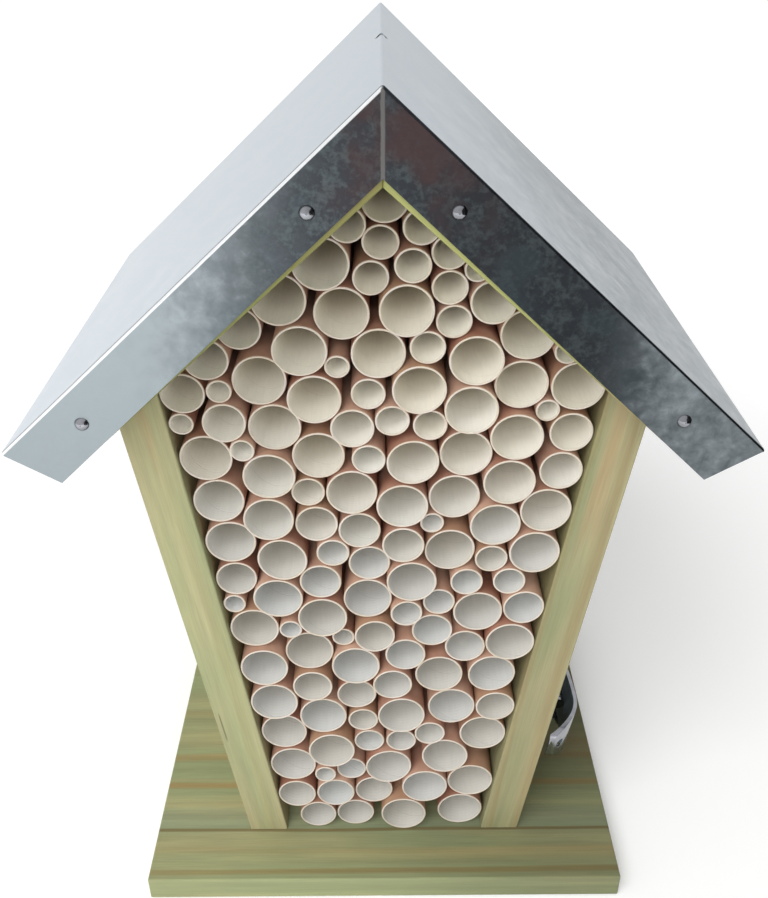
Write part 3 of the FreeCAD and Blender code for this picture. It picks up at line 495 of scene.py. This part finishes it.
# plated steel
steelLook = {
    "bright plate": {"tone": (168, 170, 176), "rough": 0.1, "brushed": 0.1, "metal": 1.0},
    "zinc plate": {"tone": (196, 198, 200), "rough": 0.24, "brushed": 0.14, "metal": 1.0},
    "nail zinc": {"tone": (158, 160, 166), "rough": 0.14, "brushed": 0.1, "metal": 1.0},
    "shaded plate": {"tone": (134, 147, 157), "rough": 0.3, "brushed": 0.14, "metal": 0.45},
}
wearLook = {"scuffs": (300, 300, 900), "scuffSpan": (0.3, 0.7), "clouds": 160, "cloudSpan": (0.35, 0.65),
            "worn": 0.86, "relief": 0.02, "depth": 0.0001}
steelPieces = {
    "bright plate": ("latch_plate", "latch_pivot_pin", "latch_trunnion", "latch_hook", "latch_lever"),
    "nail zinc": ("front_roof_nails", "rear_roof_nails"),
    "zinc plate": ("base_screws", "roof_board_screws", "gable_screws", "hinge_wall_leaves",
                   "hinge_door_leaves", "hinge_pins", "hinge_wall_screws", "hinge_door_screws",
                   "latch_strike", "latch_screws", "strike_screws"),
}
shadedSide = -0.3   # faces of the lever that look further left than this get the painted shade


def steelFinish(name, tone, rough, brushed, metal):
    look = wearLook
    steel = Finish(name, Metallic=metal)
    where = steel.place()
    scuff = steel.noise(steel.stretch(where, look["scuffs"]), detail=3, rough=0.6)
    cloud = steel.noise(where, look["clouds"], 3, 0.55)
    worn = paint(*[value * look["worn"] for value in tone])
    steel.set(Base_Color=steel.mix(steel.span(cloud, *look["cloudSpan"]), paint(*tone), worn),
              Roughness=steel.span(scuff, *look["scuffSpan"], rough, rough + brushed))
    steel.bump(scuff, look["relief"], look["depth"])
    return steel


steels = {name: steelFinish(name, **look) for name, look in steelLook.items()}
plated = {node: smoothPiece(node, steels[name]) for name, group in steelPieces.items() for node in group}
lever = plated["latch_lever"].data
lever.materials.append(steels["shaded plate"].material)
for face in lever.polygons:
    if face.normal.x < shadedSide:   # the side towards the wall gets a darker, duller copy of the plate: painted shade
        face.material_index = 1
print("steel: plated")


# wound paper tubes
class Paper(Finish):
    def __init__(self, name):
        super().__init__(name, Specular_IOR_Level=0.25)
        self.where = self.place()

    def wrap(self):   # the way round a tube, and the tube's own number from 0 to 1
        return self.axes(self.add("ShaderNodeUVMap", {"uv_map": "wrap"}))[:2]

    def seam(self, around, y, own, rise, shift, half):
        turned = (around + y / rise + own * shift).fraction()
        return self.fall(abs(turned - 0.5), 0.0, half)


insideLook = {
    "pale": paint(245, 245, 242),
    "warm": paint(244, 240, 231),
    "high": paint(252, 246, 231),
    "highRise": (0.1, 0.185),
    "highShare": 0.65,
    "deep": paint(238, 227, 206),
    "deepFrom": (-0.04, -0.012),
    "old": (0.1, 0.178, 0.79, 1.0),   # painted shade: the paper is darker low down
    "dust": 0.12,
    "wobbles": 300,
    "grains": 1500,
    "brushing": (1700, 140, 1700),
    "ply": 0.0011,
    "plyShift": 0.004,
    "plySway": 0.9,
    "plyHalf": 0.16,
    "seam": (0.021, 7, 0.012),   # pitch, shift from tube to tube, half width
    "plyTone": 0.04,
    "seamTone": 0.08,
    "grainTone": 0.06,
    "brushTone": 0.12,
    "rough": (0.3, 0.7, 0.72, 0.86),
    "relief": 0.3,
    "depth": 0.00012,
}


def paperInside():
    look = insideLook
    paper = Paper("paperInside")
    y, z = paper.axes(paper.where)[1:]
    around, own = paper.wrap()
    wobble = paper.noise(paper.where, look["wobbles"])
    ply = ((y + own * look["plyShift"]) / look["ply"] + wobble * look["plySway"]).fraction()
    line = paper.fall(abs(ply - 0.5), 0.0, look["plyHalf"])
    seam = paper.seam(around, y, own, *look["seam"])
    grain = paper.noise(paper.where, look["grains"], 3, 0.6)
    brushed = paper.noise(paper.stretch(paper.where, look["brushing"]), rough=0.6)
    colour = paper.mix(paper.span(own, 0.0, 1.0), look["pale"], look["warm"])
    # painted light: the insides are warmer higher up, standing in for the warm light in the roof's shade
    colour = paper.mix(paper.span(z, *look["highRise"]) * look["highShare"], colour, look["high"])
    # painted shade: the paper darkens and warms deeper inside the tubes
    colour = paper.mix(paper.span(y, *look["deepFrom"]), colour, look["deep"])
    level = 1 - line * look["plyTone"] - seam * look["seamTone"]
    level = level + (grain - 0.5) * look["grainTone"] + (brushed - 0.5) * look["brushTone"]
    upright = around.sum("SINE", around * (2 * math.pi))
    lowerSideShaded = paper.span(upright, -1.0, 0.4, 1.0 - look["dust"], 1.0)   # painted shade: each tube's inside is darker on its lower side
    level = level * paper.span(z, *look["old"]) * lowerSideShaded
    paper.set(Base_Color=paper.dim(colour, level), Roughness=paper.span(grain, *look["rough"]))
    paper.bump(grain * 0.4 - line * 0.5 - seam, look["relief"], look["depth"])
    return paper


rimLook = {
    "pale": paint(200, 191, 180),
    "warm": paint(196, 185, 168),
    "fuzz": paint(180, 160, 142),
    "fuzzShare": 0.35,
    "fuzzSpan": (0.55, 0.75),
    "fibres": 2200,
    "patches": 130,
    "patchSpan": (0.35, 0.65),
    "rough": (0.3, 0.7, 0.75, 0.9),
    "relief": 0.4,
    "depth": 0.00015,
}


def paperRim():
    look = rimLook
    paper = Paper("paperRim")
    fuzz = paper.noise(paper.where, look["fibres"], 3, 0.6)
    patch = paper.noise(paper.where, look["patches"])
    colour = paper.mix(paper.span(patch, *look["patchSpan"]), look["pale"], look["warm"])
    colour = paper.mix(paper.span(fuzz, *look["fuzzSpan"]) * look["fuzzShare"], colour, look["fuzz"])
    paper.set(Base_Color=colour, Roughness=paper.span(fuzz, *look["rough"]))
    paper.bump(fuzz, look["relief"], look["depth"])
    return paper


outsideLook = {
    "pale": paint(200, 164, 142),
    "dark": paint(154, 106, 87),
    "tan": paint(192, 162, 130),
    "tanFrom": (0.72, 0.9),
    "tanShare": 0.5,
    "fibres": (900, 260, 900),
    "patches": 90,
    "patchSpan": (0.3, 0.7),
    "seam": (0.026, 5, 0.014),   # pitch, shift from tube to tube, half width
    "seamTone": 0.2,
    "fibreTone": 0.22,
    "shade": (-0.043, -0.026, 1.0, 0.72),
    "rough": (0.3, 0.7, 0.7, 0.88),
    "relief": 0.35,
    "depth": 0.00012,
}


def paperOutside():
    look = outsideLook
    paper = Paper("paperOutside")
    y = paper.axes(paper.where)[1]
    around, own = paper.wrap()
    fibre = paper.noise(paper.stretch(paper.where, look["fibres"]), detail=3, rough=0.6)
    patch = paper.noise(paper.where, look["patches"])
    seam = paper.seam(around, y, own, *look["seam"])
    darkened = paper.span(patch * 0.6 + own * 0.4, *look["patchSpan"])
    colour = paper.mix(darkened, look["pale"], look["dark"])
    colour = paper.mix(paper.span(own, *look["tanFrom"]) * look["tanShare"], colour, look["tan"])
    level = 1 - seam * look["seamTone"] + (fibre - 0.5) * look["fibreTone"]
    level = level * paper.span(y, *look["shade"])
    paper.set(Base_Color=paper.dim(colour, level), Roughness=paper.span(fibre, *look["rough"]))
    paper.bump(fibre * 0.5 - seam, look["relief"], look["depth"])
    return paper


def separateSolids(node):
    # boxes of a node's separate solids, from the lowest up
    mesh = merged(node)
    left = set(mesh.verts)
    boxes = []
    while left:
        front = [left.pop()]
        points = []
        while front:
            vert = front.pop()
            points.append(vert.co.copy())
            for edge in vert.link_edges:
                other = edge.other_vert(vert)
                if other in left:
                    left.remove(other)
                    front.append(other)
        boxes.append(boxOf(points))
    mesh.free()
    return sorted(boxes, key=lambda box: (round(box[0].z, 5), round(box[0].x, 5)))


tubeLook = {
    "wall": 0.00055,
    "lip": 0.00016,
    "steps": 44,
    "oval": 0.03,
    "skew": 0.022,
    "skewBack": 0.00005,
    "skewReach": 0.001,
    "rimFaces": 0.35,   # faces that look further forward or back than this are rim
}


def addTube(mesh, wrap, low, high):
    look = tubeLook
    centre = Vector(((low.x + high.x) / 2, 0, (low.z + high.z) / 2))
    radius = (high.x - low.x) / 2
    wall, lip = look["wall"], look["lip"]
    outline = [(radius, high.y), (radius, low.y + lip), (radius - lip, low.y),
               (radius - wall + lip, low.y), (radius - wall, low.y + lip), (radius - wall, high.y)]
    first = len(mesh.verts)
    verts = [mesh.verts.new((centre.x + r, y, centre.z)) for r, y in outline]
    edges = [mesh.edges.new((a, b)) for a, b in zip(verts, verts[1:] + verts[:1])]
    bmesh.ops.spin(mesh, geom=verts + edges, cent=centre, axis=(0, 1, 0), dvec=(0, 0, 0),
                   angle=2 * math.pi, steps=look["steps"], use_merge=True)
    made = list(mesh.verts)[first:]
    own = dice.random()
    squash = 1 - look["oval"] * dice.random() ** 2
    spin = Matrix.Rotation(dice.uniform(0, math.pi), 4, "Y")
    bmesh.ops.scale(mesh, vec=(squash, 1, 1), verts=made, space=spin @ Matrix.Translation(-centre))
    tiltX, tiltZ = dice.gauss(0, look["skew"]), dice.gauss(0, look["skew"])
    for vert in made:
        if vert.co.y < low.y + look["skewReach"]:   # the cut end isn't quite square
            tilt = tiltX * (vert.co.x - centre.x) + tiltZ * (vert.co.z - centre.z)
            vert.co.y += max(0.0, look["skewBack"] + tilt)
    faces = {face for vert in made for face in vert.link_faces}
    bmesh.ops.recalc_face_normals(mesh, faces=list(faces))
    for face in faces:
        middle = face.calc_center_median() - centre
        face.normal_update()
        if abs(face.normal.y) > look["rimFaces"]:
            face.material_index = 1
        elif math.hypot(middle.x, middle.z) > radius * squash ** 0.5 - wall / 2:
            face.material_index = 2
        mean = math.atan2(middle.z, middle.x) / (2 * math.pi)
        for loop in face.loops:
            way = loop.vert.co - centre
            turn = math.atan2(way.z, way.x) / (2 * math.pi)
            loop[wrap].uv = (turn + round(mean - turn), own)


papers = [paperInside(), paperRim(), paperOutside()]
for word in ("small", "middle", "wide", "large"):
    node = word + "_tubes"
    mesh = bmesh.new()
    wrap = mesh.loops.layers.uv.new("wrap")
    solids = separateSolids(node)
    for low, high in solids:
        addTube(mesh, wrap, low, high)
    tubes = finishMesh(mesh, word + "PaperTubes", "case")
    for paper in papers:
        tubes.data.materials.append(paper.material)
    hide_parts(node)
    print("tubes: %d %s" % (len(solids), word))


# latch springs
springLook = {"wire": 0.0009, "mean": 0.00175, "pitch": 0.00186, "clear": 0.00002,
              "perTurn": 28, "round": 12, "sharp": 60}


def windSpring(mesh, low, high):
    look = springLook
    middle = (low + high) / 2
    half = look["wire"] / 2
    start = Matrix.Translation((middle.x + look["mean"], low.y + half + look["clear"], middle.z))
    ring = bmesh.ops.create_circle(mesh, cap_ends=False, segments=look["round"], radius=half, matrix=start)
    edges = list({edge for vert in ring["verts"] for edge in vert.link_edges})
    turns = round((high.y - low.y - look["wire"]) / look["pitch"])
    bmesh.ops.spin(mesh, geom=ring["verts"] + edges, cent=middle, axis=(0, 1, 0), angle=-2 * math.pi * turns,
                   steps=turns * look["perTurn"], dvec=(0, look["pitch"] / look["perTurn"], 0))


mesh = bmesh.new()
for low, high in separateSolids("latch_springs"):
    windSpring(mesh, low, high)
bmesh.ops.holes_fill(mesh, edges=[edge for edge in mesh.edges if edge.is_boundary])
bmesh.ops.recalc_face_normals(mesh, faces=mesh.faces)
springs = finishMesh(mesh, "latchSprings", "hook", springLook["sharp"])
springs.data.materials.append(steels["bright plate"].material)
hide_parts("latch_springs")
print("springs: wound")


# floor, and a dark card that only the metal mirrors
floorLook = {"size": 8, "drop": 0.0002, "tone": 0.95, "specks": 3, "speckStep": 0.01,
             "lift": (0.1, 0.8, 0.08, 0.5)}   # the far floor shows white
cardLook = {"size": 0.3, "place": (0.36, -0.3, 0.25), "tone": (20, 21, 23), "deep": 0.01, "patches": 8}


def stageSquare(name, finish, size, place):
    mesh = bmesh.new()
    bmesh.ops.create_grid(mesh, x_segments=1, y_segments=1, size=size, matrix=place)
    item = addObject(mesh, name)
    item.data.materials.append(finish.material)
    return item


def floorFinish():
    look = floorLook
    pale = Finish("paleFloor", Roughness=0.9, Specular_IOR_Level=0.1, Emission_Strength=1.0)
    where = pale.place()
    speck = pale.span(pale.noise(where, look["specks"]), 0.3, 0.7)
    seen = pale.add("ShaderNodeLightPath", out="Is Camera Ray")
    seen = seen.most(seen.sister("Is Glossy Ray"))
    pale.set(Base_Color=pale.mix(speck, grey(look["tone"]), grey(look["tone"] + look["speckStep"])),
             Emission_Color=pale.evenGrey(seen * pale.span(pale.length(where), *look["lift"])))
    return pale


def cardFinish():
    look = cardLook
    dark = Finish("darkCard", Roughness=0.9)
    patch = dark.noise(dark.place(), look["patches"])
    dark.set(Base_Color=dark.mix(patch, paint(*look["tone"]), grey(look["deep"])))
    return dark


floorPlace = Matrix.Translation((0, 0, -floorLook["drop"]))
floor = stageSquare("floor", floorFinish(), floorLook["size"], floorPlace)
cardPlace = Matrix.Translation(cardLook["place"]) @ Matrix.Rotation(math.pi / 2, 4, "Y")
card = stageSquare("darkCard", cardFinish(), cardLook["size"], cardPlace)
card.visible_camera = card.visible_diffuse = card.visible_shadow = False


# world and lamps
skyLook = {"left": 0.8, "right": 0.34, "back": 0.85, "backFrom": (0, 0.8), "shine": 1.0, "shineRight": 0.72}
lamps = {
    "key": {"watts": 10.0, "wide": 0.9, "place": (-0.55, -0.8, 1.25)},
    "front": {"watts": 10.0, "wide": 0.9, "place": (-0.15, -1.3, 0.75)},
}
aim = Vector((0, 0, 0.1))
world = bpy.data.worlds.new("studio")
scene.world = world
world.use_nodes = True
sky = Graph(world.node_tree)
sideways, backwards = sky.axes(sky.add("ShaderNodeTexCoord", out="Generated"))[:2]
soft = sky.span(sideways, -1, 1, skyLook["left"], skyLook["right"])
soft = soft * sky.span(backwards, *skyLook["backFrom"], 1.0, skyLook["back"])
shine = sky.span(sideways, -1, 1, skyLook["shine"], skyLook["shineRight"])
seen = sky.add("ShaderNodeLightPath", out="Is Camera Ray")
glossy = seen.sister("Is Glossy Ray").most(seen.sister("Is Transmission Ray"))
backdrop = world.node_tree.nodes["Background"].inputs
sky.feed(backdrop["Color"], grey(1.0))
sky.feed(backdrop["Strength"], seen + (1 - seen) * (glossy * shine + (1 - glossy) * soft))

for name, look in lamps.items():
    light = bpy.data.lights.new(name, "AREA")
    light.energy = look["watts"]
    light.shape = "DISK"
    light.size = look["wide"]
    lamp = bpy.data.objects.new(name, light)
    lamp.location = look["place"]
    lamp.visible_glossy = False   # a mirrored lamp would whiten the roof from behind
    lamp.rotation_euler = (aim - lamp.location).to_track_quat("-Z", "Y").to_euler()
    scene.collection.objects.link(lamp)


# camera, with its focal length and the row of its axis in pixels
viewLook = {"focal": 939.2, "eye": (-0.0009, -0.2487, 0.2892), "down": 28.74, "yaw": 0.32, "roll": -0.11,
            "axisRow": 385, "tall": 898, "sensor": 36, "clip": (0.01, 50)}
lens = bpy.data.cameras.new("camera")
lens.sensor_fit = "AUTO"
lens.sensor_width = viewLook["sensor"]
lens.lens = viewLook["focal"] * viewLook["sensor"] / viewLook["tall"]
lens.shift_y = -(viewLook["tall"] / 2 - viewLook["axisRow"]) / viewLook["tall"]
lens.clip_start, lens.clip_end = viewLook["clip"]
camera = bpy.data.objects.new("camera", lens)
down, yaw, roll = [math.radians(viewLook[turn]) for turn in ("down", "yaw", "roll")]
ahead = Vector((math.sin(yaw) * math.cos(down), math.cos(yaw) * math.cos(down), -math.sin(down)))
turned = ahead.to_track_quat("-Z", "Y").to_matrix().to_4x4() @ Matrix.Rotation(roll, 4, "Z")
camera.matrix_world = Matrix.Translation(viewLook["eye"]) @ turned
scene.collection.objects.link(camera)
scene.camera = camera
scene.view_settings.view_transform = "Standard"
print("stage: floor, two lamps and camera")
